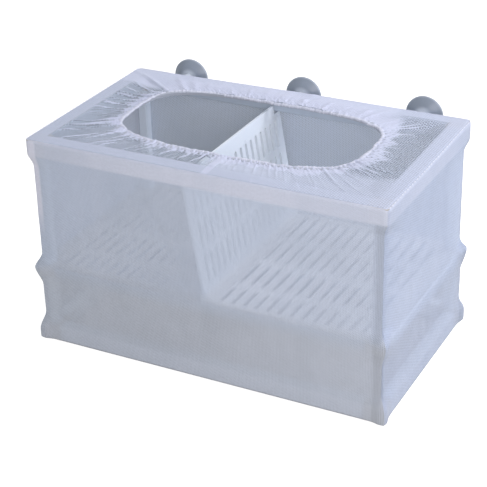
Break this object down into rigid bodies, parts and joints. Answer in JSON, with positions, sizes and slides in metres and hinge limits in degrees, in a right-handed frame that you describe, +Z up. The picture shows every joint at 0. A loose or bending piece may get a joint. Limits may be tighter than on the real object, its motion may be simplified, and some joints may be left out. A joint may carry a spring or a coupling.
{
  "type": "fish breeding box",
  "caption": "Hang-on net basket for a fish tank, on a tube frame, with an elastic mouth, a slotted floor over a fry space, a leaning slotted divider and suction cups.",
  "frame": {"origin": "middle of the bottom face of the net, where the basket stands", "axes": "+X along the length of the box, +Y out of the back, the side that carries the suction cups, +Z up"},
  "size_m": [0.255, 0.158, 0.1574],
  "materials": {
    "connector_plastic": "satin white, moulded",
    "tube_plastic": "satin white, extruded tube",
    "net": "fine white polyester mesh, see-through",
    "hem": "gathered white mesh, sewn in a band",
    "elastic": "white covered elastic",
    "plate_plastic": "cloudy translucent white plastic",
    "cup_vinyl": "smooth clear grey vinyl"
  },
  "bodies": {
    "basket": {"top_corner_front_left": "connector_plastic", "top_corner_front_right": "connector_plastic", "top_corner_back_left": "connector_plastic", "top_corner_back_right": "connector_plastic", "mid_corner_front_left": "connector_plastic", "mid_corner_front_right": "connector_plastic", "mid_corner_back_left": "connector_plastic", "mid_corner_back_right": "connector_plastic", "bottom_corner_front_left": "connector_plastic", "bottom_corner_front_right": "connector_plastic", "bottom_corner_back_left": "connector_plastic", "bottom_corner_back_right": "connector_plastic", "top_rail_front": "tube_plastic", "top_rail_back": "tube_plastic", "top_rail_left": "tube_plastic", "top_rail_right": "tube_plastic", "mid_rail_front": "tube_plastic", "mid_rail_back": "tube_plastic", "mid_rail_left": "tube_plastic", "mid_rail_right": "tube_plastic", "bottom_rail_front": "tube_plastic", "bottom_rail_back": "tube_plastic", "bottom_rail_left": "tube_plastic", "bottom_rail_right": "tube_plastic", "upper_post_front_left": "tube_plastic", "upper_post_front_right": "tube_plastic", "upper_post_back_left": "tube_plastic", "upper_post_back_right": "tube_plastic", "lower_post_front_left": "tube_plastic", "lower_post_front_right": "tube_plastic", "lower_post_back_left": "tube_plastic", "lower_post_back_right": "tube_plastic", "net_front": "net", "net_back": "net", "net_left": "net", "net_right": "net", "net_bottom": "net", "net_top": "net", "mouth_hem": "hem", "mouth_elastic": "elastic", "floor_plate_left": "plate_plastic", "floor_plate_right": "plate_plastic", "divider_track": "plate_plastic"},
    "divider_leaf": {"divider": "plate_plastic"},
    "cup_left": {"suction_cup_left": "cup_vinyl"},
    "cup_middle": {"suction_cup_middle": "cup_vinyl"},
    "cup_right": {"suction_cup_right": "cup_vinyl"}
  },
  "joints": [
    {"name": "divider_lean", "type": "hinge", "parent": "basket", "child": "divider_leaf", "pos_m": [0, 0, 0.05995], "axis": [0, 1, 0], "range_deg": [0, 18]},
    {"name": "cup_left_turn", "type": "hinge", "parent": "basket", "child": "cup_left", "pos_m": [-0.09, 0.085, 0.144], "axis": [0, 1, 0], "continuous": true},
    {"name": "cup_middle_turn", "type": "hinge", "parent": "basket", "child": "cup_middle", "pos_m": [0, 0.085, 0.144], "axis": [0, 1, 0], "continuous": true},
    {"name": "cup_right_turn", "type": "hinge", "parent": "basket", "child": "cup_right", "pos_m": [0.09, 0.085, 0.144], "axis": [0, 1, 0], "continuous": true}
  ]
}
